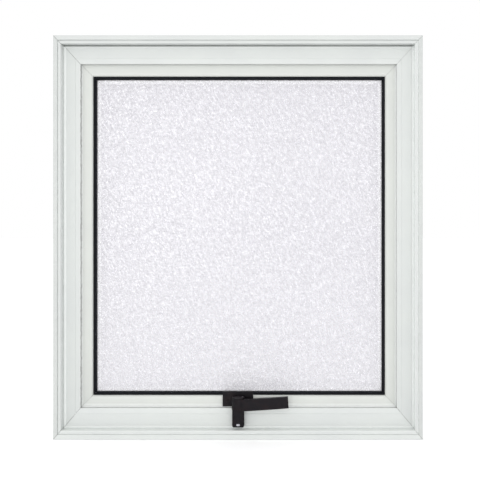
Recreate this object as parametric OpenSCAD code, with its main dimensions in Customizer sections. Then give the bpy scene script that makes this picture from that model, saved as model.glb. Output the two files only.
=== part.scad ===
// Outward-opening awning window: a mitred aluminium frame, a top-sliding sash on
// equal-link stays, obscured glass and a black lever latch on the bottom rail.
// X runs along the sill, +Y points outdoors, +Z is up. The origin lies on the
// underside of the sill, halfway along it, in the plane of the frame's room face.

/* [Frame] */
// Overall width of the window
frame_w = 600; // [500:10:900]
// Overall height of the window
frame_h = 656; // [600:4:900]
// Depth of the frame behind its room face
frame_back = 44; // [44:1:60]
// Width of a jamb's face, from the outer edge to the sash
face_w = 40; // [39:0.5:41]
// Head face width as a multiple of the jamb's
head_ratio = 1.1; // [1.04:0.01:1.15]
// Sill face width as a multiple of the jamb's
sill_ratio = 1.17; // [1.14:0.01:1.2]
// Wall thickness of the aluminium sections
wall = 1.6; // [1.2:0.1:2]
// Clearance left at each mitre
mitre_gap = 0.12; // [0.05:0.01:0.3]

/* [Raised rim] */
// Width of the raised rim round the room side
rim_w = 12; // [11:0.5:14]
// Height of the rim over the frame's room face
rim_d = 16; // [10:1:18]
// Width of the rim's outer land
land_w = 6.6; // [5:0.2:7]
// Radius of the low bead at the foot of the rim
bead_r = 2.8; // [2.4:0.1:3]

/* [Sash] */
// How far the sash hides behind the frame's lip
overlap = 6; // [4:0.5:8]
// Width of a sash stile
stile_w = 24.4; // [24:0.2:27]
// Sash rail widths as a multiple of the stile's
sash_ratio = 1.02; // [1:0.01:1.08]
// Depth of the sash's room face behind the frame's room face
sash_front = 8; // [8:0.5:10]
// Depth of the sash's outdoor face behind the frame's room face
sash_back = 42; // [40:1:44]
// Width of the outdoor leaf that covers the gap round the sash
leaf_w = 8.5; // [5:0.5:8.5]
// Glass thickness
glass_t = 4; // [3:1:6]
// Width of the black gasket seen on the room side
gasket_w = 4.8; // [4:0.1:8]

/* [Stays] */
// Length of each of the two equal links
link = 130; // [110:5:140]
// Depth of the stay pivots behind the frame's room face
pivot_v = 20; // [19:0.5:22]
// Drop of the top pivot below the sash's top edge
top_drop = 8.3; // [8:0.1:9]
// Radius of the stay pins
pin_r = 3; // [2.5:0.1:3.5]
// Running clearance of the stay pins, on the radius
pin_play = 0.06; // [0.03:0.01:0.1]
// Width of the stay bars
bar_w = 16; // [14:1:16]

/* [Latch] */
// Height of the latch pivot above the underside of the sill
hub_z = 57.5; // [57.5:0.5:60]
// Length of the lever from its pivot
lever_l = 81; // [60:1:100]
// Width of the lever at its root
lever_w = 19; // [16:0.5:20]
// Distance from the pivot to the end of the tongue
tongue_l = 39; // [34:0.5:39]
// Width of the tongue
tongue_w = 19.4; // [15:0.2:19.6]

/* [Hidden] */
$fn = 48;

// Colours
white_coat = "#e4e8e4";
bare_metal = "#a9adb0";
steel = "#8f9296";
black_rubber = "#26292d";
black_coat = "#2a2629";
nylon = "#d8d6d0";
glass_tint = "#eeeef4";

// Frame section, across (u, from the outer edge inward) and through (v, outdoors)
box_w = 17;
fin_t = 2.2;
chamber_v = 2.7;
edge_c = 0.8;
groove_w = 1.7;
groove_d = 2.2;
rim_skin = 4.2;
rim_step = 0.7;
bead_sink = 1.7;
lip_w = 8;
lip_step = 0.6;
lip_fall = 0.9;
seal_rib_t = 1.1;
seal_rib_v = 4.4;
seal_foot_w = 3.4;
seal_floor_v = 2.8;
seal_reach = 5;
sill_seal_reach = 7.6;

// Outer corners of the sash, in from the frame's left edge and from its two ends
sash_u = face_w - overlap;
sash_z = face_w * sill_ratio - overlap;
sash_drop = face_w * head_ratio - overlap;
low_corner = [sash_u, sash_z];
high_corner = [sash_u, sash_drop];

// Sash section, across (s, from the sash's outer edge inward) and through (v)
tube_w = 15;
leaf_t = 1.8;
sash_skin = 2.2;
lip_t = 5.5;
sash_round = 3.6;
lip_back = sash_front + lip_t;
glass_v = lip_back + 7.5;
glass_edge = tube_w + 3;
gasket_in = stile_w + gasket_w;
tape_t = 1.2;
tape_in = 3.4;
bead_front = glass_v + glass_t + tape_t;
bead_in = stile_w - 0.6;
bead_t = 1.6;
bead_foot = 3;
bead_side_d = 5;
bead_hollow_w = 3.2;
bead_hollow_d = 5.5;

// Stay layout, across from the frame's outer edge
track_t = 1.5;
track_w = 16;
track_top_u = 24;
arm_u = 25.2;
arm_t = 2.5;
bar_u = 30.5;
bar_t = sash_u - bar_u;
top_pivot_z = frame_h - sash_drop - top_drop;
mid_pivot_z = top_pivot_z - link;
low_pivot_z = top_pivot_z - 2 * link;
max_open = 75;
shoe_travel = 2 * link * (1 - cos(max_open));
shoe_half = 18;
track_low_z = top_pivot_z - shoe_travel - shoe_half - 9;
track_high_z = top_pivot_z + shoe_half + 1;

// Fixing holes through the jambs
fixing_r = 3.25;
fixing_v = 36;
fixing_pitch = 456;

// Latch layout, through the window
base_v = 3.2;
boss_v = -1.3;
washer_v = -1.9;
hub_back_v = -2;
hub_r = 10.3;
hub_v = -9;
hub_low = 10;
hub_high = 9.8;
lever_v = -17;
lever_t = 6.5;
tongue_front_v = -12;
tongue_back_v = -3.2;
pad_v = -0.4;
latch_pin_r = 4;
latch_pin_v = -15;
latch_pin_l = 20.4;
latch_pin_play = 0.06;
peg_z = hub_z - tongue_l + 3.9;

// Half the size of the mitre blocks, and the bite of one solid into the next
reach = 100;
joint_eps = 0.01;

// Points of an arc, for outlines
function arc(c, r, from, to, n) =
    [for (i = [0:n]) c + r * [cos(from + (to - from) * i / n), sin(from + (to - from) * i / n)]];

// An outline with its distances from the outer edge stretched for head and sill
function stretched(points, k) = [for (p = points) [k * p[0], p[1]]];

bead_slope = asin(bead_sink / bead_r);
bead_half = bead_r * cos(bead_slope);

function frame_outline() = concat(
    [[0, frame_back], [0, edge_c - rim_d], [edge_c, -rim_d], [land_w, -rim_d]],
    [[land_w, groove_d - rim_d], [land_w + groove_w, groove_d - rim_d]],
    [[land_w + groove_w, rim_step - rim_d], [rim_w - edge_c, rim_step - rim_d]],
    [[rim_w, rim_step + edge_c - rim_d]],
    arc([rim_w + bead_half, bead_sink], bead_r, 180 + bead_slope, 360 - bead_slope, 10),
    [[face_w - lip_w, 0], [face_w - lip_w, lip_step], [face_w, lip_step + lip_fall]],
    [[face_w, seal_rib_v], [face_w - seal_rib_t, seal_rib_v]],
    [[face_w - seal_rib_t, seal_floor_v], [face_w - seal_rib_t - seal_foot_w, seal_floor_v]],
    [[face_w - seal_rib_t - seal_foot_w, seal_rib_v]],
    [[face_w - 2 * seal_rib_t - seal_foot_w, seal_rib_v]],
    [[face_w - 2 * seal_rib_t - seal_foot_w, fin_t], [box_w, fin_t], [box_w, frame_back]]
);

module frame_section(k) {
    difference() {
        polygon(stretched(frame_outline(), k));
        translate([k * wall, chamber_v])
            square([k * (box_w - 2 * wall), frame_back - wall - chamber_v]);
        translate([k * wall, rim_skin - rim_d])
            square([k * (rim_w - 2 * wall), rim_d - rim_skin]);
    }
}

module seal_section(k, tip_v) {
    foot = face_w - seal_rib_t - seal_foot_w;
    bulb_r = seal_foot_w / 2 - 0.4;
    polygon(stretched(concat(
        [[foot + 0.1, seal_floor_v], [foot + 0.1, seal_rib_v - 0.6]],
        arc([foot + seal_foot_w / 2, max(tip_v - bulb_r, seal_rib_v - 0.6)], bulb_r, 180, 0, 10),
        [[foot + seal_foot_w - 0.1, seal_rib_v - 0.6], [foot + seal_foot_w - 0.1, seal_floor_v]]
    ), k));
}

function sash_outline() = concat(
    [[-leaf_w, sash_back], [-leaf_w, sash_back - leaf_t], [0, sash_back - leaf_t]],
    [[0, sash_front + edge_c], [edge_c, sash_front]],
    arc([stile_w - sash_round, sash_front + sash_round], sash_round, -90, 0, 8),
    [[stile_w, lip_back], [tube_w, lip_back], [tube_w, sash_back]]
);

module sash_section(k) {
    difference() {
        polygon(stretched(sash_outline(), k));
        translate([k * wall, sash_front + sash_skin])
            square([k * (tube_w - 2 * wall), sash_back - wall - sash_front - sash_skin]);
    }
}

gasket_foot = tube_w + 1;
gasket_fold = 0.3;
gasket_crown = 2.6;
gasket_proud = 1.2;
gasket_nose_w = 1;
gasket_nose_d = 0.4;
gasket_side_d = 2;

module gasket_section(k) {
    polygon(stretched([
        [gasket_foot, lip_back], [stile_w, lip_back],
        [stile_w + gasket_fold, lip_back - gasket_proud + gasket_fold],
        [stile_w + gasket_crown, lip_back - gasket_proud],
        [gasket_in - gasket_nose_w, lip_back + gasket_nose_d],
        [gasket_in, lip_back + gasket_side_d], [gasket_in, glass_v], [gasket_foot, glass_v]
    ], k));
}

module bead_section(k) {
    difference() {
        polygon(stretched([
            [tube_w, bead_front], [bead_in, bead_front], [bead_in, bead_front + bead_side_d],
            [tube_w + bead_foot, sash_back], [tube_w, sash_back]
        ], k));
        translate([k * (tube_w + bead_t), bead_front + bead_t])
            square([k * bead_hollow_w, bead_hollow_d]);
    }
}

module tape_section(k) {
    translate([k * (tube_w + tape_in), glass_v + glass_t])
        square([k * (bead_in - tube_w - tape_in), tape_t]);
}

// Runs a section along the sill and mitres it at a line up from a corner
module along_sill(corner = [0, 0], k = sill_ratio) {
    foot = mitre_gap - frame_w / 2 + corner[0] - corner[1] / k;
    intersection() {
        rotate([0, -90, 0]) linear_extrude(frame_w, center = true)
            translate([corner[1], 0]) children();
        rotate([90, 0, 0]) linear_extrude(2 * reach, center = true) polygon([
            [foot, 0], [-foot, 0], [-foot - reach / k, reach], [foot + reach / k, reach]
        ]);
    }
}

module along_head(corner = [0, 0], k = head_ratio) {
    at_head() along_sill(corner, k) children();
}

module along_left(low = [0, 0], high = [0, 0], k_low = sill_ratio, k_high = head_ratio) {
    foot = mitre_gap + low[1] - low[0] * k_low;
    top = frame_h - mitre_gap - high[1] + high[0] * k_high;
    translate([-frame_w / 2, 0, 0]) intersection() {
        linear_extrude(frame_h) translate([low[0], 0]) children();
        rotate([90, 0, 0]) linear_extrude(2 * reach, center = true) polygon([
            [0, foot], [reach, foot + reach * k_low], [reach, top - reach * k_high], [0, top]
        ]);
    }
}

module along_sash_sill() {
    along_sill(low_corner, sash_ratio) children();
}

module along_sash_head() {
    along_head(high_corner, sash_ratio) children();
}

module along_sash_left() {
    along_left(low_corner, high_corner, sash_ratio, sash_ratio) children();
}

module on_right() {
    mirror([1, 0, 0]) children();
}

module at_both_sides() {
    children();
    on_right() children();
}

module at_head() {
    translate([0, 0, frame_h]) mirror([0, 0, 1]) children();
}

module at_top_and_bottom() {
    children();
    at_head() children();
}

module at_four_corners() {
    at_top_and_bottom() at_both_sides() children();
}

// A rod along X that starts u from the frame's left edge
module side_rod(u, v, z, r, l) {
    translate([u - frame_w / 2, v, z]) rotate([0, 90, 0]) cylinder(h = l, r = r);
}

// A block on the left side, from u to u + w
module side_block(u, v, z, w, d, h) {
    translate([u - frame_w / 2, v, z]) cube([w, d, h]);
}

// A flat bar on the left side with round ends about two pivots
module side_bar(u, t, z_low, z_high) {
    side_block(u, pivot_v - bar_w / 2, z_low, t, bar_w, z_high - z_low);
    side_rod(u, pivot_v, z_low, bar_w / 2, t);
    side_rod(u, pivot_v, z_high, bar_w / 2, t);
}

// Frame
corner_screw_v = 35;
corner_screw_z = [24, 40];
screw_r = 1.9;
head_r = 3.4;
head_t = 1.8;
cleat_leg = 46;
cleat_in = 2;
cleat_v = 7;
cleat_low = 2.4;
cleat_w = 13;
cleat_d = 31;
cleat_h = 13.4;

module frame_corner_screw_set(heads) {
    for (z = corner_screw_z) {
        side_rod(8, corner_screw_v, z, screw_r, box_w - 8 + joint_eps);
        if (heads) side_rod(box_w, corner_screw_v, z, head_r, head_t);
    }
}

drain_x = [-150, 150];
drain_l = 20;
drain_d = 10;
drain_h = 4;
drain_z = 6;

module sill_bar() {
    difference() {
        along_sill() frame_section(sill_ratio);
        for (x = drain_x) translate([x - drain_l / 2, frame_back - drain_d / 2, drain_z])
            cube([drain_l, drain_d, drain_h]);
    }
}

module jamb_bar() {
    difference() {
        along_left() frame_section(1);
        for (s = [-1, 1])
            side_rod(-1, fixing_v, (frame_h + s * fixing_pitch) / 2, fixing_r, box_w + 2);
        at_top_and_bottom() frame_corner_screw_set(false);
        for (z = track_screw_z) side_rod(10, pivot_v, z, screw_r, 10);
        for (s = [-1, 1]) side_rod(10, pivot_v, low_pivot_z + s * post_screw, screw_r, 10);
    }
}

module frame_head() { color(white_coat) along_head() frame_section(head_ratio); }
module frame_sill() { color(white_coat) sill_bar(); }
module frame_jamb_left() { color(white_coat) jamb_bar(); }
module frame_jamb_right() { color(white_coat) on_right() jamb_bar(); }

module frame_corner_cleats() {
    color(bare_metal) at_four_corners() difference() {
        union() {
            side_block(cleat_in, cleat_v, cleat_low, cleat_w, cleat_d, cleat_leg);
            side_block(cleat_in, cleat_v, cleat_low, cleat_leg, cleat_d, cleat_h);
        }
        frame_corner_screw_set(false);
    }
}

module frame_corner_screws() {
    color(steel) at_four_corners() frame_corner_screw_set(true);
}

module weather_seal_head() { color(black_rubber) along_head() seal_section(head_ratio, seal_reach); }
module weather_seal_sill() {
    color(black_rubber) along_sill() seal_section(sill_ratio, sill_seal_reach);
}
module weather_seal_left() { color(black_rubber) along_left() seal_section(1, seal_reach); }
module weather_seal_right() {
    color(black_rubber) on_right() along_left() seal_section(1, seal_reach);
}

hood_t = 1.2;
hood_d = 4.5;

module drain_hoods() {
    color(white_coat) for (x = drain_x) translate([x, frame_back, drain_z - 2]) difference() {
        translate([-drain_l / 2 - 3, 0, 0]) cube([drain_l + 6, hood_d, drain_h + 5]);
        translate([-drain_l / 2, -1, -1]) cube([drain_l, hood_d + 1 - hood_t, drain_h + 4]);
    }
}

// Stays
track_screw_z = [track_low_z + 14, (track_low_z + track_high_z) / 2, track_high_z - 44];
post_screw = 11;
track_floor_u = box_w + track_t;
slot_v = pivot_v - track_w / 2 + track_t;
slot_w = track_w - 2 * track_t;

module stay_track() {
    difference() {
        side_block(box_w, pivot_v - track_w / 2, track_low_z,
            track_top_u - box_w, track_w, track_high_z - track_low_z);
        side_block(track_floor_u, slot_v, track_low_z - 1, 10, slot_w, frame_h);
        for (z = track_screw_z) side_rod(box_w - 1, pivot_v, z, screw_r, 10);
    }
}

module stay_track_left() { color(bare_metal) stay_track(); }
module stay_track_right() { color(bare_metal) on_right() stay_track(); }

// Flat-headed screws whose heads stay under the sliding shoe
module stay_track_screws() {
    color(steel) at_both_sides() {
        for (z = track_screw_z) {
            side_rod(11, pivot_v, z, screw_r, track_floor_u - 11);
            side_rod(track_floor_u, pivot_v, z, head_r, 0.8);
        }
        for (s = [-1, 1]) {
            side_rod(11, pivot_v, low_pivot_z + s * post_screw, screw_r, track_floor_u - 11);
            side_rod(track_floor_u, pivot_v, low_pivot_z + s * post_screw, head_r, 1.2);
        }
    }
}

module stay_track_stops() {
    color(nylon) at_both_sides()
        side_block(track_floor_u, slot_v, track_low_z, 5, slot_w, 6);
}

module stay_post() {
    difference() {
        union() {
            side_block(box_w, pivot_v - 9, low_pivot_z - 17, track_t, 18, 34);
            side_rod(box_w, pivot_v, low_pivot_z, 6, arm_u - 0.1 - box_w);
            side_rod(box_w, pivot_v, low_pivot_z, pin_r, arm_u + arm_t + 0.1 - box_w);
            side_rod(arm_u + arm_t + 0.1, pivot_v, low_pivot_z, pin_r + 2, 1.4);
        }
        for (s = [-1, 1])
            side_rod(box_w - 1, pivot_v, low_pivot_z + s * post_screw, screw_r, 3);
    }
}

module stay_post_left() { color(steel) stay_post(); }
module stay_post_right() { color(steel) on_right() stay_post(); }

module stay_arm() {
    difference() {
        side_bar(arm_u, arm_t, low_pivot_z, mid_pivot_z);
        for (z = [low_pivot_z, mid_pivot_z])
            side_rod(arm_u - 1, pivot_v, z, pin_r + pin_play, arm_t + 2);
    }
}

module stay_arm_left() { color(steel) stay_arm(); }
module stay_arm_right() { color(steel) on_right() stay_arm(); }

shoe_play = 0.5;

module stay_shoe() {
    side_block(track_floor_u + 1.1, slot_v + shoe_play, top_pivot_z - shoe_half,
        track_top_u - track_floor_u - 1.1, slot_w - 2 * shoe_play, 2 * shoe_half);
    side_rod(track_top_u, pivot_v, top_pivot_z, 5, bar_u - 0.4 - track_top_u);
    side_rod(track_top_u, pivot_v, top_pivot_z, pin_r, sash_u - 0.3 - track_top_u);
}

module stay_shoe_left() { color(nylon) stay_shoe(); }
module stay_shoe_right() { color(nylon) on_right() stay_shoe(); }

// Sash
module sash_stile() {
    difference() {
        along_sash_left() sash_section(1);
        for (z = bar_screw_z) side_rod(sash_u - 1, pivot_v, z, screw_r, 6);
        sash_corner_screw_set(sash_z);
        at_head() sash_corner_screw_set(sash_drop);
    }
}

module sash_sill_bar() {
    difference() {
        along_sash_sill() sash_section(sash_ratio);
        for (s = [-1, 1]) translate([base_x + s * base_screw_x, lip_back, base_screw_z])
            rotate([90, 0, 0]) cylinder(h = lip_t + 1, r = base_screw_r);
    }
}

module sash_head() { color(white_coat) along_sash_head() sash_section(sash_ratio); }
module sash_sill() { color(white_coat) sash_sill_bar(); }
module sash_stile_left() { color(white_coat) sash_stile(); }
module sash_stile_right() { color(white_coat) on_right() sash_stile(); }

sash_cleat_leg = 34;
sash_cleat_w = tube_w - 4;
sash_cleat_v = 11.4;
sash_cleat_d = 27.4;
sash_screw_v = 34;
sash_screw_l = 8;
sash_screw_head = 1.4;

module sash_corner_screw_set(corner_z) {
    side_rod(sash_u, sash_screw_v, corner_z + tube_w + sash_screw_l, screw_r, sash_screw_l);
}

module sash_corner_cleat(corner_z) {
    color(bare_metal) at_both_sides() difference() {
        union() {
            side_block(sash_u + 2, sash_cleat_v, corner_z + 2,
                sash_cleat_w, sash_cleat_d, sash_cleat_leg);
            side_block(sash_u + 2, sash_cleat_v, corner_z + 2,
                sash_cleat_leg, sash_cleat_d, sash_cleat_w - 1);
        }
        sash_corner_screw_set(corner_z);
    }
}

module sash_corner_cleats() {
    sash_corner_cleat(sash_z);
    at_head() sash_corner_cleat(sash_drop);
}

module sash_corner_screw(corner_z) {
    color(steel) at_both_sides() {
        sash_corner_screw_set(corner_z);
        side_rod(sash_u - sash_screw_head, sash_screw_v, corner_z + tube_w + sash_screw_l,
            head_r, sash_screw_head);
    }
}

module sash_corner_screws() {
    sash_corner_screw(sash_z);
    at_head() sash_corner_screw(sash_drop);
}

bar_low_z = mid_pivot_z - 24;
bar_screw_z = [mid_pivot_z - 20, mid_pivot_z + 40, mid_pivot_z + 90];

// The left bar carries a riveted stud for the stay arm and a bored eye for the shoe
module sash_bar() {
    difference() {
        union() {
            side_bar(bar_u, bar_t, bar_low_z, top_pivot_z);
            side_rod(arm_u + arm_t + 0.1, pivot_v, mid_pivot_z, 6, bar_u - arm_u - arm_t - 0.1);
            side_rod(arm_u - 0.1, pivot_v, mid_pivot_z, pin_r, bar_u - arm_u + 0.1);
        }
        side_rod(bar_u - 1, pivot_v, top_pivot_z, pin_r + pin_play, bar_t + 2);
        for (z = bar_screw_z) side_rod(bar_u - 1, pivot_v, z, screw_r, bar_t + 2);
    }
}

module sash_bar_left() { color(steel) sash_bar(); }
module sash_bar_right() { color(steel) on_right() sash_bar(); }

module sash_bar_screws() {
    color(bare_metal) at_both_sides() for (z = bar_screw_z) {
        side_rod(bar_u, pivot_v, z, screw_r, bar_t + 4);
        side_rod(bar_u - 0.9, pivot_v, z, head_r, 0.9);
    }
}

// Glazing
module glass_pane() {
    w = frame_w - 2 * (sash_u + glass_edge);
    z = sash_z + glass_edge * sash_ratio;
    h = frame_h - z - sash_drop - glass_edge * sash_ratio;
    color(glass_tint, 0.6) translate([-w / 2, glass_v, z]) cube([w, glass_t, h]);
}

module gasket_head() { color(black_rubber) along_sash_head() gasket_section(sash_ratio); }
module gasket_sill() { color(black_rubber) along_sash_sill() gasket_section(sash_ratio); }
module gasket_left() { color(black_rubber) along_sash_left() gasket_section(1); }
module gasket_right() { color(black_rubber) on_right() along_sash_left() gasket_section(1); }

module glazing_bead_head() { color(white_coat) along_sash_head() bead_section(sash_ratio); }
module glazing_bead_sill() { color(white_coat) along_sash_sill() bead_section(sash_ratio); }
module glazing_bead_left() { color(white_coat) along_sash_left() bead_section(1); }
module glazing_bead_right() { color(white_coat) on_right() along_sash_left() bead_section(1); }

module glazing_tapes() {
    color(black_rubber) {
        along_sash_head() tape_section(sash_ratio);
        along_sash_sill() tape_section(sash_ratio);
        at_both_sides() along_sash_left() tape_section(1);
    }
}

block_l = 60;
block_x = [-150, 150];

module setting_blocks() {
    z = sash_z + tube_w * sash_ratio;
    color(black_rubber) for (x = block_x) translate([x - block_l / 2, glass_v, z])
        cube([block_l, glass_t, (glass_edge - tube_w) * sash_ratio]);
}

// Latch
base_w = 50;
base_x = -1.5;
base_low_z = 49;
base_h = 24;
base_screw_x = 17.5;
base_screw_z = 57;
base_screw_r = 1.7;
base_head_r = 3.6;
base_head_t = 1.2;
cross_w = 0.9;
boss_r = 9.5;
washer_r = 8;

// A rod along Y from v to v + l
module through_rod(x, v, z, r, l) {
    translate([x, v, z]) rotate([-90, 0, 0]) cylinder(h = l, r = r);
}

// An outline in X and Z, extruded from v to v + t
module plate(v, t) {
    translate([0, v + t, 0]) rotate([90, 0, 0]) linear_extrude(t) children();
}

module latch_base() {
    color(black_coat) difference() {
        union() {
            translate([base_x - base_w / 2, base_v, base_low_z])
                cube([base_w, sash_front - base_v, base_h]);
            through_rod(0, boss_v, hub_z, boss_r, base_v - boss_v + 0.1);
        }
        through_rod(0, boss_v - 1, hub_z, latch_pin_r, 12);
        for (s = [-1, 1])
            through_rod(base_x + s * base_screw_x, base_v - 1, base_screw_z, screw_r, 12);
    }
}

module latch_base_screws() {
    color(black_coat) for (s = [-1, 1]) {
        x = base_x + s * base_screw_x;
        through_rod(x, base_v, base_screw_z, base_screw_r, lip_back - 0.5 - base_v);
        difference() {
            through_rod(x, base_v - base_head_t, base_screw_z, base_head_r, base_head_t);
            for (a = [0, 90]) translate([x, base_v - base_head_t, base_screw_z])
                rotate([0, a, 0]) cube([base_head_r, base_head_t, cross_w], center = true);
        }
    }
}

module latch_washer() {
    color(steel) difference() {
        through_rod(0, washer_v, hub_z, washer_r, boss_v - washer_v);
        through_rod(0, washer_v - 1, hub_z, latch_pin_r + 0.1, 3);
    }
}

module latch_pivot_pin() {
    color(black_coat) through_rod(0, latch_pin_v, hub_z, latch_pin_r, latch_pin_l);
}

// Lever outline: its centre line climbs gently and curls up towards the tip
function lever_mid(t) = [lever_l * t, lever_drop + lever_rise * t + lever_curl * t * t];
function lever_half(t) = lever_w / 2 - lever_taper * t;
lever_drop = -2.4;
lever_rise = 3;
lever_curl = 2;
lever_taper = 0.4;
lever_slant = 1.2;
lever_steps = 12;

module lever_outline() {
    polygon(concat(
        [for (i = [0:lever_steps]) lever_mid(i / lever_steps) + [0, lever_half(i / lever_steps)]],
        [for (i = [lever_steps:-1:0]) lever_mid(i / lever_steps) + [lever_slant * i / lever_steps,
            -lever_half(i / lever_steps)]]
    ));
}

corner_r = 3;
shoulder_top = 7;
shoulder_low = 11;

module tongue_outline() {
    half = tongue_w / 2;
    polygon(concat(
        [[half, 0], [-hub_r, 0], [-hub_r, -shoulder_top], [-half, -shoulder_low]],
        arc([-half + corner_r, corner_r - tongue_l], corner_r, 180, 270, 6),
        arc([half - corner_r, corner_r - tongue_l], corner_r, 270, 360, 6)
    ));
}

// Stadium-shaped peg that carries the wear pad
pad_w = 14;
pad_low = 2.6;
peg_r = 1.6;
peg_half = 1.3;

module peg_outline() {
    for (s = [-1, 1]) translate([s * peg_half, 0]) circle(r = peg_r);
    translate([-peg_half, -peg_r]) square([2 * peg_half, 2 * peg_r]);
}

// Upright barrel at the root of the lever, flat where it turns against the washer
module latch_hub() {
    difference() {
        translate([0, hub_v, -hub_low]) cylinder(h = hub_low + hub_high, r = hub_r);
        translate([-hub_r - 1, hub_back_v, -hub_low - 1])
            cube([2 * hub_r + 2, hub_r, hub_low + hub_high + 2]);
    }
}

rib_w = 2;
rib_t = 1;

module tongue_ribs() {
    for (s = [-1, 1]) translate([
        s * (tongue_w / 2 - rib_w) - rib_w / 2, tongue_front_v - rib_t, rib_w - tongue_l
    ]) cube([rib_w, rib_t + 1, tongue_l - hub_low]);
}

module latch_handle() {
    color(black_coat) translate([0, 0, hub_z]) difference() {
        union() {
            latch_hub();
            plate(lever_v, lever_t) lever_outline();
            plate(tongue_front_v, tongue_back_v - tongue_front_v) tongue_outline();
            tongue_ribs();
        }
        through_rod(0, latch_pin_v, 0, latch_pin_r + latch_pin_play, latch_pin_l);
        plate(tongue_front_v - 2, 12) translate([0, peg_z - hub_z]) peg_outline();
    }
}

module latch_wear_pad() {
    color(nylon) {
        plate(tongue_front_v - 0.5, tongue_back_v - tongue_front_v + 0.5)
            translate([0, peg_z]) peg_outline();
        translate([-pad_w / 2, tongue_back_v, peg_z - pad_low])
            cube([pad_w, pad_v - tongue_back_v, pad_w]);
    }
}

frame_head();
frame_sill();
frame_jamb_left();
frame_jamb_right();
frame_corner_cleats();
frame_corner_screws();
weather_seal_head();
weather_seal_sill();
weather_seal_left();
weather_seal_right();
drain_hoods();
stay_track_left();
stay_track_right();
stay_track_screws();
stay_track_stops();
stay_post_left();
stay_post_right();
stay_arm_left();
stay_arm_right();
stay_shoe_left();
stay_shoe_right();
sash_head();
sash_sill();
sash_stile_left();
sash_stile_right();
sash_corner_cleats();
sash_corner_screws();
sash_bar_left();
sash_bar_right();
sash_bar_screws();
glass_pane();
glazing_tapes();
setting_blocks();
gasket_head();
gasket_sill();
gasket_left();
gasket_right();
glazing_bead_head();
glazing_bead_sill();
glazing_bead_left();
glazing_bead_right();
latch_base();
latch_base_screws();
latch_washer();
latch_pivot_pin();
latch_handle();
latch_wear_pad();
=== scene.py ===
"""Looks of the awning window: materials, pebbled glass, light and camera."""
import math

import bpy
import numpy as np
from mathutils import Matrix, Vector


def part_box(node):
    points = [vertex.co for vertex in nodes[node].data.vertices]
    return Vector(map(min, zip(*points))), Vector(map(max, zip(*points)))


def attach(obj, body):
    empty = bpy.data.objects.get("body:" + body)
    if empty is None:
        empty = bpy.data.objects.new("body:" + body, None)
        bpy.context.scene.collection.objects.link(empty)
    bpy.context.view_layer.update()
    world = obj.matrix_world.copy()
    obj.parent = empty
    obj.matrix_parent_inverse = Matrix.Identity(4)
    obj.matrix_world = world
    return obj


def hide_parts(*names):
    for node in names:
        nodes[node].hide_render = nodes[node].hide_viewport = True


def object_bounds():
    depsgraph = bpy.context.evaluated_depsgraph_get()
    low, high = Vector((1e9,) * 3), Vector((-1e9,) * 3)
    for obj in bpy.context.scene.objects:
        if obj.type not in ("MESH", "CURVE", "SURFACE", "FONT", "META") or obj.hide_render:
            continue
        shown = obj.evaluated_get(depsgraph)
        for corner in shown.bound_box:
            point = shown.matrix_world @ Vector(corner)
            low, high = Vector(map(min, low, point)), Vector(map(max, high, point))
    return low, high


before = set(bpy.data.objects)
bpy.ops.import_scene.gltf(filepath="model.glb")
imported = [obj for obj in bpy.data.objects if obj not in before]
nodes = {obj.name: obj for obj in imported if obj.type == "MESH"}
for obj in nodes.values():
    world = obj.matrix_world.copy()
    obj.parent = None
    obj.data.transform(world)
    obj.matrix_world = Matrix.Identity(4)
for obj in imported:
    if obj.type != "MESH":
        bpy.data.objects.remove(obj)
cad_low, cad_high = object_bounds()
scene = bpy.context.scene
MM = 0.001

WIDTH = cad_high[0] - cad_low[0]
HEIGHT = cad_high[2] - cad_low[2]
# Head and sill sections are the jamb section stretched by these
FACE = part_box("frame_jamb_left")[1][0] + WIDTH / 2
SILL_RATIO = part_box("frame_sill")[1][2] / FACE
HEAD_RATIO = (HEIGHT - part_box("frame_head")[0][2]) / FACE


# ---- Node helpers ----------------------------------------------------------

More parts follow.
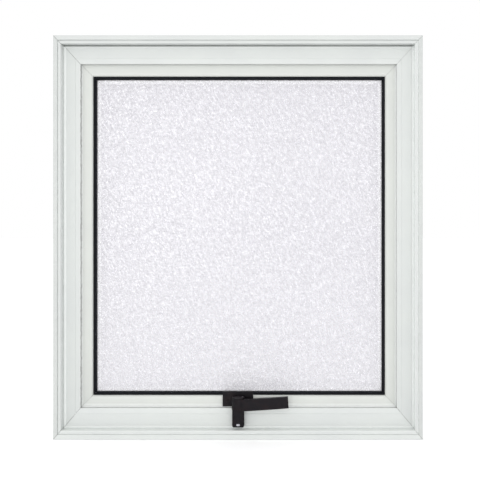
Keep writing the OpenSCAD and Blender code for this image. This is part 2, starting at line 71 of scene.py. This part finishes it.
class Look:
    """A procedural material around one Principled shader."""

    def __init__(self, name, **sockets):
        self.material = bpy.data.materials.new(name)
        self.material.use_nodes = True
        self.tree = self.material.node_tree
        self.shader = self.tree.nodes["Principled BSDF"]
        for socket, value in sockets.items():
            self.shader.inputs[socket.replace("_", " ")].default_value = value
        self.place = self.add("ShaderNodeTexCoord").outputs["Object"]

    def add(self, kind, **settings):
        made = self.tree.nodes.new(kind)
        for key, value in settings.items():
            setattr(made, key, value)
        return made

    def link(self, source, target):
        self.tree.links.new(source, target)

    def feed(self, socket, value):
        """Sets a socket to a number or colour, or links it to another node's output."""
        if isinstance(value, bpy.types.NodeSocket):
            self.link(value, socket)
        else:
            socket.default_value = value

    def stretched(self, x, y, z):
        """The place with each axis scaled."""
        made = self.add("ShaderNodeVectorMath", operation="MULTIPLY")
        self.link(self.place, made.inputs[0])
        made.inputs[1].default_value = (x, y, z)
        return made.outputs[0]

    def noise(self, size, detail=3.0, rough=0.55, place=None):
        """Noise whose blotches are about size metres across."""
        made = self.add("ShaderNodeTexNoise")
        self.link(place or self.place, made.inputs["Vector"])
        made.inputs["Scale"].default_value = 1 / size
        made.inputs["Detail"].default_value = detail
        made.inputs["Roughness"].default_value = rough
        return made.outputs["Fac"]

    def cells(self, size):
        """Soft round cells about size metres across."""
        made = self.add("ShaderNodeTexVoronoi", feature="SMOOTH_F1")
        self.link(self.place, made.inputs["Vector"])
        made.inputs["Scale"].default_value = 1 / size
        return made.outputs["Distance"]

    def math(self, operation, a, b=0.0):
        made = self.add("ShaderNodeMath", operation=operation)
        self.feed(made.inputs[0], a)
        self.feed(made.inputs[1], b)
        return made.outputs[0]

    def ramp(self, factor, *stops):
        """Colour or grey by factor; each stop is (position, value or colour)."""
        made = self.add("ShaderNodeValToRGB")
        self.link(factor, made.inputs[0])
        elements = made.color_ramp.elements
        while len(elements) < len(stops):
            elements.new(0.5)
        for element, (position, value) in zip(elements, stops):
            element.position = position
            tone = value if isinstance(value, tuple) else (value,) * 3
            element.color = (*tone, 1)
        return made.outputs[0]

    def mix(self, factor, a, b):
        made = self.add("ShaderNodeMix", data_type="RGBA")
        self.feed(made.inputs[0], factor)
        for socket, value in ((made.inputs[6], a), (made.inputs[7], b)):
            self.feed(socket, (*value, 1) if isinstance(value, tuple) else value)
        return made.outputs[2]

    def colour(self, source):
        self.link(source, self.shader.inputs["Base Color"])

    def roughness(self, source):
        self.link(source, self.shader.inputs["Roughness"])

    def bump(self, *layers):
        """Each layer is (height, strength, distance in metres)."""
        normal = None
        for height, strength, distance in layers:
            made = self.add("ShaderNodeBump")
            made.inputs["Strength"].default_value = strength
            made.inputs["Distance"].default_value = distance
            self.link(height, made.inputs["Height"])
            if normal:
                self.link(normal, made.inputs["Normal"])
            normal = made.outputs[0]
        self.link(normal, self.shader.inputs["Normal"])

    def apart(self, side):
        """Distance in metres from one outer edge of the window."""
        split = self.add("ShaderNodeSeparateXYZ")
        self.link(self.place, split.inputs[0])
        across, up = split.outputs[0], split.outputs[2]
        if side == "sides":
            return self.math("SUBTRACT", WIDTH / 2, self.math("ABSOLUTE", across))
        if side == "left":
            return self.math("ADD", across, WIDTH / 2)
        if side == "right":
            return self.math("SUBTRACT", WIDTH / 2, across)
        return up if side == "sill" else self.math("SUBTRACT", HEIGHT, up)

    def thin(self, away, half_width):
        """1 where a distance in metres is near 0, falling softly to 0 at half_width."""
        made = self.add("ShaderNodeMapRange", interpolation_type="SMOOTHSTEP")
        self.link(self.math("ABSOLUTE", away), made.inputs["Value"])
        for socket, value in zip(("From Min", "From Max", "To Min", "To Max"),
                                 (half_width * 0.4, half_width, 1.0, 0.0)):
            made.inputs[socket].default_value = value
        return made.outputs[0]

    def inside(self, low, high):
        """Distance in metres inside an upright rectangle, given two opposite corners."""
        split = self.add("ShaderNodeSeparateXYZ")
        self.link(self.place, split.inputs[0])
        reach = []
        for output, a, b in ((0, low[0], high[0]), (2, low[1], high[1])):
            off = self.math("ABSOLUTE", self.math("SUBTRACT", split.outputs[output], (a + b) / 2))
            reach.append(self.math("SUBTRACT", (b - a) / 2, off))
        return self.math("MINIMUM", *reach)

    def line(self, side, at, half_width):
        """1 on a line beside one edge of the window, at an inset in jamb millimetres."""
        stretch = {"sill": SILL_RATIO, "head": HEAD_RATIO}.get(side, 1.0)
        away = self.math("SUBTRACT", self.apart(side), at * MM * stretch)
        return self.thin(away, half_width * MM)

    def mitre(self, corner, low, high, k_low, k_high, half_width):
        """1 on the mitres that run in from the corners, fainter at the tight upper right one.

        The mitres start at inset corner from each side, at heights low and high from the
        window's ends, and rise by k_low and k_high per metre inward.
        """
        inward = self.math("SUBTRACT", self.apart("sides"), corner)
        from_left = self.math("MULTIPLY", self.apart("left"), 1 / WIDTH)
        tight = self.ramp(from_left, (0.4, 1.0), (0.6, 0.45))
        reach = []
        for end, start, k in (("sill", low, k_low), ("head", high, k_high)):
            rise = self.math("SUBTRACT", self.apart(end), start)
            off = self.math("SUBTRACT", rise, self.math("MULTIPLY", inward, k))
            reach.append(self.thin(off, half_width))
        return self.math("MAXIMUM", reach[0], self.math("MULTIPLY", reach[1], tight))


# ---- Materials -------------------------------------------------------------

# Dark grey for the mitre joints and a faint band near the rims' outer edge, also painted shade in
# the gaps beside the frame's lip
GRIME_AND_GAP_SHADE = (0.17, 0.175, 0.165)


def powder_coat(name, clean, shade, lines=(), mitre=None):
    """Satin white powder coat with orange peel, faint smudges, grimy mitres, and painted shade and
    painted highlight lines along its edges.
    """
    look = Look(name, IOR=1.5, Specular_IOR_Level=0.4)
    base = look.mix(look.ramp(look.noise(0.09), (0.35, 0.0), (0.7, 1.0)), clean, shade)
    flecks = look.ramp(look.noise(0.0016, 2.0), (0.72, 0.0), (0.8, 0.35))
    base = look.mix(flecks, base, tuple(c * 0.9 for c in shade))
    if mitre:
        strength, *where = mitre
        worn = look.ramp(look.noise(0.02, 3.0), (0.3, strength * 0.55), (0.65, strength))
        base = look.mix(look.math("MULTIPLY", look.mitre(*where), worn), base, GRIME_AND_GAP_SHADE)
    # Lines beside the window's edges: painted shade in gaps, painted shadow under the head's rim,
    # painted highlight on grooves and creases
    for side, at, half_width, faint, strong, tone in lines:
        broken = look.ramp(look.noise(0.009, 5.0, 0.7), (0.47, faint), (0.57, strong))
        mask = look.math("MULTIPLY", look.line(side, at, half_width), broken)
        base = look.mix(mask, base, tone)
    look.colour(base)
    look.roughness(look.ramp(look.noise(0.03), (0.3, 0.32), (0.7, 0.42)))
    look.bump((look.noise(0.0011, 1.0), 0.2, 0.0001), (look.noise(0.007, 1.0), 0.1, 0.0002))
    return look.material


def rubber(name, deep, dusty):
    """Extruded black rubber: fine grain, drawn lines and a little dust."""
    look = Look(name, Specular_IOR_Level=0.13)
    dust = look.ramp(look.noise(0.006, 5.0, 0.7), (0.5, 0.0), (0.85, 0.5))
    look.colour(look.mix(dust, deep, dusty))
    look.roughness(look.ramp(look.noise(0.004), (0.3, 0.42), (0.7, 0.6)))
    look.bump((look.noise(0.0007, 2.0), 0.35, 0.0001))
    return look.material


def black_enamel(name):
    """Satin black paint on cast metal: soft pitting, worn brown-red thin spots."""
    look = Look(name, Specular_IOR_Level=0.15)
    thin = look.ramp(look.noise(0.014, 4.0, 0.6), (0.45, 0.0), (0.75, 1.0))
    look.colour(look.mix(thin, (0.0050, 0.0038, 0.0058), (0.012, 0.0065, 0.0075)))
    look.roughness(look.ramp(look.noise(0.005), (0.3, 0.4), (0.75, 0.55)))
    look.bump((look.noise(0.0009, 2.0), 0.3, 0.00012), (look.cells(0.0035), 0.12, 0.0002))
    return look.material


def moulded_nylon(name):
    """Cloudy off-white nylon that lets a little light in."""
    look = Look(name, Subsurface_Weight=0.15, Subsurface_Radius=(0.002, 0.002, 0.0016))
    cloudy = look.ramp(look.noise(0.004), (0.3, 0.0), (0.7, 1.0))
    look.colour(look.mix(cloudy, (0.46, 0.46, 0.49), (0.40, 0.40, 0.43)))
    look.roughness(look.ramp(look.noise(0.002), (0.3, 0.38), (0.7, 0.52)))
    look.bump((look.noise(0.0006, 2.0), 0.2, 0.0001))
    return look.material


def drawn_metal(name, tone, worn, stretch):
    """Bare metal with fine lines along its length and dull patches."""
    look = Look(name, Metallic=1.0)
    lines = look.noise(0.02, 4.0, 0.7, look.stretched(*stretch))
    patches = look.ramp(look.noise(0.018, 4.0), (0.4, 0.0), (0.7, 1.0))
    look.colour(look.mix(patches, tone, worn))
    look.roughness(look.ramp(lines, (0.3, 0.28), (0.7, 0.5)))
    look.bump((lines, 0.15, 0.00008), (look.noise(0.0012), 0.1, 0.00008))
    return look.material


STREAK_LEAN = math.radians(30)


def pebbled_glass(name, daylight):
    """Milky obscured glass: lavender tint with painted shade in the streaks' valleys, and painted
    light that whitens it low down and at the edges.
    """
    look = Look(name, IOR=1.5, Transmission_Weight=0.3)
    slant = look.add("ShaderNodeMapping", vector_type="TEXTURE")
    look.link(look.place, slant.inputs["Vector"])
    slant.inputs["Rotation"].default_value = (0, -STREAK_LEAN, 0)
    slant.inputs["Scale"].default_value = (1.0, 1.0, 2.6)
    streaks = look.noise(0.0036, 2.0, 0.5, slant.outputs[0])
    grain = look.noise(0.0036, 2.0, 0.5)
    mixed = look.math("ADD", look.math("MULTIPLY", grain, 0.35),
                      look.math("MULTIPLY", streaks, 0.65))
    # Painted shade in the streaks' valleys and painted highlight on their crests, following the
    # bump
    tone = look.ramp(mixed, (0.38, (0.665, 0.655, 0.695)), (0.50, (0.735, 0.725, 0.765)),
                     (0.62, (0.885, 0.88, 0.915)))
    # Painted light: the pane is whitened towards the bottom, where it would render darker
    low_lift = look.ramp(look.math("MULTIPLY", look.apart("sill"), 1 / HEIGHT), (0.1, 0.3), (0.5, 0.0))
    # Painted light: the pane is whitened near the gaskets, where shade would fall
    edge_lift = look.math("MULTIPLY", look.thin(look.inside(*daylight), 8 * MM), 0.85)
    lift_white = (0.955, 0.95, 0.98)
    look.colour(look.mix(edge_lift, look.mix(low_lift, tone, lift_white), lift_white))
    look.roughness(look.ramp(grain, (0.35, 0.35), (0.65, 0.2)))
    look.bump((mixed, 0.35, 0.0006))
    return look.material


# Insets of the rim's outer band, its groove and its foot, and of the face's lip, in
# millimetres of the jamb
BAND = 3.4
GROOVE = 7.5
FOOT = 13.0
LIP = FACE / MM
# Painted brightening where the rim feet and the lip's gaps would be shaded
PAINTED_LIFT = (0.80, 0.825, 0.81)
# Painted highlight on rim grooves and feet and on the sash beside the sill's gap
PAINTED_HIGHLIGHT = (0.93, 0.955, 0.94)
# Painted shadow under the head's rim
PAINTED_RIM_SHADOW = (0.085, 0.09, 0.085)
# Painted shade, painted shadow and painted highlight lines round the window, plus a faint darkening
# along the rims' outer band: side, inset, half width, strength where faint and strong, tone
FRAME_LINES = {
    "head": (("head", FOOT + 0.2, 1.15, 0.93, 0.97, PAINTED_RIM_SHADOW),
             ("head", LIP - 0.2, 0.4, 0.15, 0.25, GRIME_AND_GAP_SHADE)),
    "sill": (("sill", GROOVE, 1.2, 0.45, 0.55, PAINTED_HIGHLIGHT), ("sill", FOOT, 2.6, 0.8, 0.9, PAINTED_LIFT),
             ("sill", LIP - 0.2, 0.4, 0.0, 0.1, GRIME_AND_GAP_SHADE)),
    "left": (("left", BAND, 5.0, 0.08, 0.13, GRIME_AND_GAP_SHADE), ("left", GROOVE, 1.2, 0.3, 0.4, PAINTED_LIFT),
             ("left", FOOT + 1.4, 3.4, 0.75, 0.85, PAINTED_LIFT),
             ("left", LIP - 0.2, 0.5, 0.0, 0.5, GRIME_AND_GAP_SHADE)),
    "right": (("right", BAND, 5.0, 0.10, 0.15, GRIME_AND_GAP_SHADE), ("right", GROOVE, 1.2, 0.6, 0.7, PAINTED_HIGHLIGHT),
              ("right", FOOT, 2.0, 0.75, 0.85, PAINTED_HIGHLIGHT)),
}
SASH_LINES = {
    "head": (("head", LIP + 0.5, 0.6, 0.1, 0.2, GRIME_AND_GAP_SHADE),),
    "sill": (("sill", LIP + 2.0, 4.5, 0.4, 0.5, PAINTED_HIGHLIGHT),
             ("sill", LIP + 0.6, 1.4, 0.85, 0.95, PAINTED_HIGHLIGHT),
             ("sill", LIP + 0.5, 0.5, 0.0, 0.15, GRIME_AND_GAP_SHADE)),
    "left": (("left", LIP + 1.0, 2.0, 0.9, 1.0, PAINTED_LIFT),
             ("left", LIP + 0.6, 0.6, 0.0, 0.75, GRIME_AND_GAP_SHADE)),
    "right": (("right", LIP + 1.0, 2.2, 0.9, 1.0, PAINTED_LIFT),),
}
CLEAN = (0.602, 0.624, 0.608)
SHADE = (0.577, 0.597, 0.589)
SASH_CLEAN = (0.600, 0.620, 0.590)
SASH_SHADE = (0.575, 0.592, 0.568)
# The lower rails are painted lighter, as painted light against the shade that falls low on the
# window
SILL_PAINTED_LIFT = 1.07
# The sash's corners lie this far outside its corner cleats
CLEAT_IN = 2 * MM
CLEATS_LOW, CLEATS_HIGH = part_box("sash_corner_cleats")
SASH_SIDE = CLEATS_LOW[0] + WIDTH / 2 - CLEAT_IN
SASH_LOW = CLEATS_LOW[2] - CLEAT_IN
SASH_HIGH = HEIGHT - CLEATS_HIGH[2] - CLEAT_IN
SASH_RATIO = 1.02
# Strength of the mitre lines, then what Look.mitre takes
FRAME_MITRE = (0.6, 0, 0, 0, SILL_RATIO, HEAD_RATIO, 1.15 * MM)
SASH_MITRE = (0.3, SASH_SIDE, SASH_LOW, SASH_HIGH, SASH_RATIO, SASH_RATIO, 0.8 * MM)

# The part of the pane that shows inside the gaskets: left and low, right and high
DAYLIGHT = ((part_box("gasket_left")[1][0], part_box("gasket_sill")[1][2]),
            (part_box("gasket_right")[0][0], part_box("gasket_head")[0][2]))

LOOKS = {
    "bead": powder_coat("white_coat_bead", SASH_CLEAN, SASH_SHADE),
    "hood": powder_coat("white_plastic", (0.61, 0.62, 0.60), (0.56, 0.57, 0.54)),
    "gasket": rubber("gasket_rubber", (0.0040, 0.0048, 0.0070), (0.016, 0.020, 0.025)),
    "seal": rubber("seal_rubber", (0.018, 0.018, 0.019), (0.07, 0.07, 0.07)),
    "latch": black_enamel("latch_enamel"),
    "nylon": moulded_nylon("moulded_nylon"),
    "aluminium": drawn_metal("mill_aluminium", (0.62, 0.63, 0.65), (0.5, 0.51, 0.52), (40, 40, 1)),
    "steel": drawn_metal("zinc_steel", (0.55, 0.56, 0.58), (0.42, 0.42, 0.4), (30, 30, 2)),
    "glass": pebbled_glass("pebbled_glass", DAYLIGHT),
}

for side, frame_lines in FRAME_LINES.items():
    sill_lift = SILL_PAINTED_LIFT if side == "sill" else 1
    frame_tones = [tuple(c * sill_lift for c in tone) for tone in (CLEAN, SHADE)]
    sash_tones = [tuple(c * sill_lift for c in tone) for tone in (SASH_CLEAN, SASH_SHADE)]
    LOOKS["frame_" + side] = powder_coat("frame_coat_" + side, *frame_tones,
                                         frame_lines, FRAME_MITRE)
    LOOKS["sash_" + side] = powder_coat("sash_coat_" + side, *sash_tones,
                                        SASH_LINES[side], SASH_MITRE)


def look_of(name):
    """The look that a CAD node wears, by what it is."""
    families = (
        ("frame_corner_cleats", "aluminium"), ("sash_corner_cleats", "aluminium"),
        ("frame_corner_screws", "steel"), ("sash_corner_screws", "steel"),
        ("sash_bar", "steel"), ("stay_track_screws", "steel"),
        ("stay_track_stops", "nylon"), ("stay_track", "aluminium"), ("stay_shoe", "nylon"),
        ("stay_", "steel"), ("latch_wear_pad", "nylon"), ("latch_washer", "steel"),
        ("latch", "latch"), ("weather_seal", "seal"), ("gasket", "gasket"),
        ("glazing_tapes", "seal"), ("setting_blocks", "seal"), ("glazing_bead", "bead"),
        ("glass_pane", "glass"), ("drain_hoods", "hood"),
        ("frame_head", "frame_head"), ("frame_sill", "frame_sill"),
        ("frame_jamb_left", "frame_left"), ("frame_jamb_right", "frame_right"),
        ("sash_head", "sash_head"), ("sash_sill", "sash_sill"),
        ("sash_stile_left", "sash_left"), ("sash_stile_right", "sash_right"),
    )
    return next(LOOKS[look] for start, look in families if name.startswith(start))


BEVELS = (("latch_handle", 0.9 * MM), ("latch", 0.4 * MM), ("stay_", 0.3 * MM),
          ("gasket", 0.35 * MM), ("frame_", 0.25 * MM), ("sash_", 0.25 * MM))
UNBEVELLED = ("screws", "cleats", "glass_pane")


def dress_cad_nodes():
    """Gives every CAD node its look, and small rounded edges where it has visible ones."""
    for name, obj in nodes.items():
        obj.data.materials.clear()
        obj.data.materials.append(look_of(name))
        width = next((w for start, w in BEVELS if name.startswith(start)), 0)
        if width and not any(word in name for word in UNBEVELLED):
            bevel = obj.modifiers.new("edges", "BEVEL")
            bevel.width = width
            bevel.segments = 3
            bevel.limit_method = "ANGLE"
            bevel.angle_limit = math.radians(35)
            bevel.harden_normals = True
            bevel.use_clamp_overlap = True


# ---- Pebbled glass ---------------------------------------------------------

# Mesh step, pebble width, length over width, relief, and the spread of heights and sizes
PEBBLE_STEP = 1.3 * MM
PEBBLE_SIZE = 4.0 * MM
PEBBLE_STRETCH = 1.7
PEBBLE_HEIGHT = 0.4 * MM
PEBBLE_SPREAD = 0.28
PEBBLE_EVENNESS = 1.6
PEBBLE_SEED = 7
FLAT_MARGIN = 8 * MM


def pebble_field(across, up, step, rng):
    """Random leaning bumps from 0 to 1, all about one pebble wide."""
    white = rng.standard_normal((up, across))
    fx = np.fft.fftfreq(across, step)[None, :]
    fz = np.fft.fftfreq(up, step)[:, None]
    along = fz * math.cos(STREAK_LEAN) - fx * math.sin(STREAK_LEAN)
    aside = fx * math.cos(STREAK_LEAN) + fz * math.sin(STREAK_LEAN)
    wave = np.hypot(aside, along * PEBBLE_STRETCH)
    band = np.exp(-((wave - 1 / PEBBLE_SIZE) * PEBBLE_SIZE * PEBBLE_EVENNESS) ** 2)
    field = np.fft.ifft2(np.fft.fft2(white) * band).real
    field /= field.std()
    return np.clip(0.5 + PEBBLE_SPREAD * field, 0, 1)


def make_glass():
    """The pane with a pebbled room face and a flat outdoor face, in its CAD box."""
    low, high = (np.array(c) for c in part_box("glass_pane"))
    across = int((high[0] - low[0]) / PEBBLE_STEP)
    up = int((high[2] - low[2]) / PEBBLE_STEP)
    xs = np.linspace(low[0], high[0], across)
    zs = np.linspace(low[2], high[2], up)
    x, z = np.meshgrid(xs, zs)
    edge = np.minimum(np.minimum(x - low[0], high[0] - x), np.minimum(z - low[2], high[2] - z))
    fade = np.clip((edge - FLAT_MARGIN / 2) / FLAT_MARGIN, 0, 1)
    bumps = pebble_field(across, up, PEBBLE_STEP, np.random.default_rng(PEBBLE_SEED))
    depth = low[1] + PEBBLE_HEIGHT * (1 - bumps) * fade
    front = np.stack([x, depth, z], -1).reshape(-1, 3)
    grid = np.arange(across * up).reshape(up, across)
    quads = np.stack([grid[:-1, :-1], grid[:-1, 1:], grid[1:, 1:], grid[1:, :-1]], -1)
    ring = np.concatenate([grid[0], grid[1:, -1], grid[-1, -2::-1], grid[-2:0:-1, 0]])
    back = front[ring].copy()
    back[:, 1] = high[1]
    back_ids = len(front) + np.arange(len(ring))
    centre_id = len(front) + len(ring)
    centre = [[0, high[1], (low[2] + high[2]) / 2]]
    faces = quads.reshape(-1, 4).tolist()
    pebbled = len(faces)
    for i, here in enumerate(ring):
        j = (i + 1) % len(ring)
        faces.append([int(ring[j]), int(here), int(back_ids[i]), int(back_ids[j])])
        faces.append([int(back_ids[j]), int(back_ids[i]), centre_id])
    mesh = bpy.data.meshes.new("pebbled_pane")
    mesh.from_pydata(np.concatenate([front, back, centre]).tolist(), [], faces)
    mesh.validate()
    mesh.shade_smooth()
    mesh.polygons.foreach_set("use_smooth", [i < pebbled for i in range(len(mesh.polygons))])
    pane = bpy.data.objects.new("pebbled_pane", mesh)
    scene.collection.objects.link(pane)
    mesh.materials.append(LOOKS["glass"])
    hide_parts("glass_pane")
    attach(pane, "sash")
    return pane


# ---- Stage -----------------------------------------------------------------

FLOOR_SIZE = 14
FLOOR_GAP = 0.5 * MM


def make_floor():
    """A plain pale floor just under the sill."""
    bpy.ops.mesh.primitive_plane_add(size=FLOOR_SIZE, location=(0, 0, cad_low[2] - FLOOR_GAP))
    floor = bpy.context.object
    floor.name = "floor"
    look = Look("pale_floor", Emission_Color=(1, 1, 1, 1), Emission_Strength=0.22)
    look.colour(look.ramp(look.noise(0.4), (0.3, 0.93), (0.7, 0.95)))
    look.roughness(look.ramp(look.noise(0.1), (0.3, 0.8), (0.7, 0.9)))
    floor.data.materials.append(look.material)


def area_light(name, place, target, size, power):
    """A square lamp at place that faces target."""
    lamp = bpy.data.lights.new(name, "AREA")
    lamp.size = size
    lamp.energy = power
    obj = bpy.data.objects.new(name, lamp)
    scene.collection.objects.link(obj)
    obj.location = place
    direction = np.array(target) - np.array(place)
    flat = math.hypot(direction[0], direction[1])
    obj.rotation_euler = (math.atan2(flat, -direction[2]), 0,
                          math.atan2(direction[1], direction[0]) - math.pi / 2)


# Two wide lamps far in front, a little to either side: name, place, size and watts
LAMPS = (("key", (-0.9, -4.4, 0.35), 1.4, 33), ("fill", (1.1, -4.3, 0.25), 1.8, 29))


def make_light():
    """White studio surroundings and the two lamps."""
    world = bpy.data.worlds.new("studio")
    scene.world = world
    world.use_nodes = True
    world.node_tree.nodes["Background"].inputs["Color"].default_value = (1, 1, 1, 1)
    world.node_tree.nodes["Background"].inputs["Strength"].default_value = 1.0
    middle = (0, 0, HEIGHT / 2)
    for name, place, size, power in LAMPS:
        area_light(name, place, middle, size, power)
    scene.view_settings.view_transform = "Standard"


# The camera looks squarely at the window from a little right of and above its
# middle; the shift keeps the window in the picture without tilting it.
VIEW_WIDTH = 0.7786
VIEW_DISTANCE = 1.30
SHIFT_X = -0.11
SHIFT_Y = -0.08
CENTRE_LEFT = 0.0043
CENTRE_UP = 0.0054
SENSOR = 36


def make_camera():
    """The camera, square to the window and aimed by its shift."""
    camera = bpy.data.cameras.new("camera")
    camera.sensor_width = SENSOR
    camera.lens = SENSOR * VIEW_DISTANCE / VIEW_WIDTH
    camera.shift_x = SHIFT_X
    camera.shift_y = SHIFT_Y
    obj = bpy.data.objects.new("camera", camera)
    scene.collection.objects.link(obj)
    room_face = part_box("frame_sill")[0][1]
    obj.location = (VIEW_WIDTH * (CENTRE_LEFT - SHIFT_X), room_face - VIEW_DISTANCE,
                    HEIGHT / 2 - VIEW_WIDTH * (SHIFT_Y + CENTRE_UP))
    obj.rotation_euler = (math.pi / 2, 0, 0)
    scene.camera = obj


make_camera()
dress_cad_nodes()
make_glass()
make_floor()
make_light()
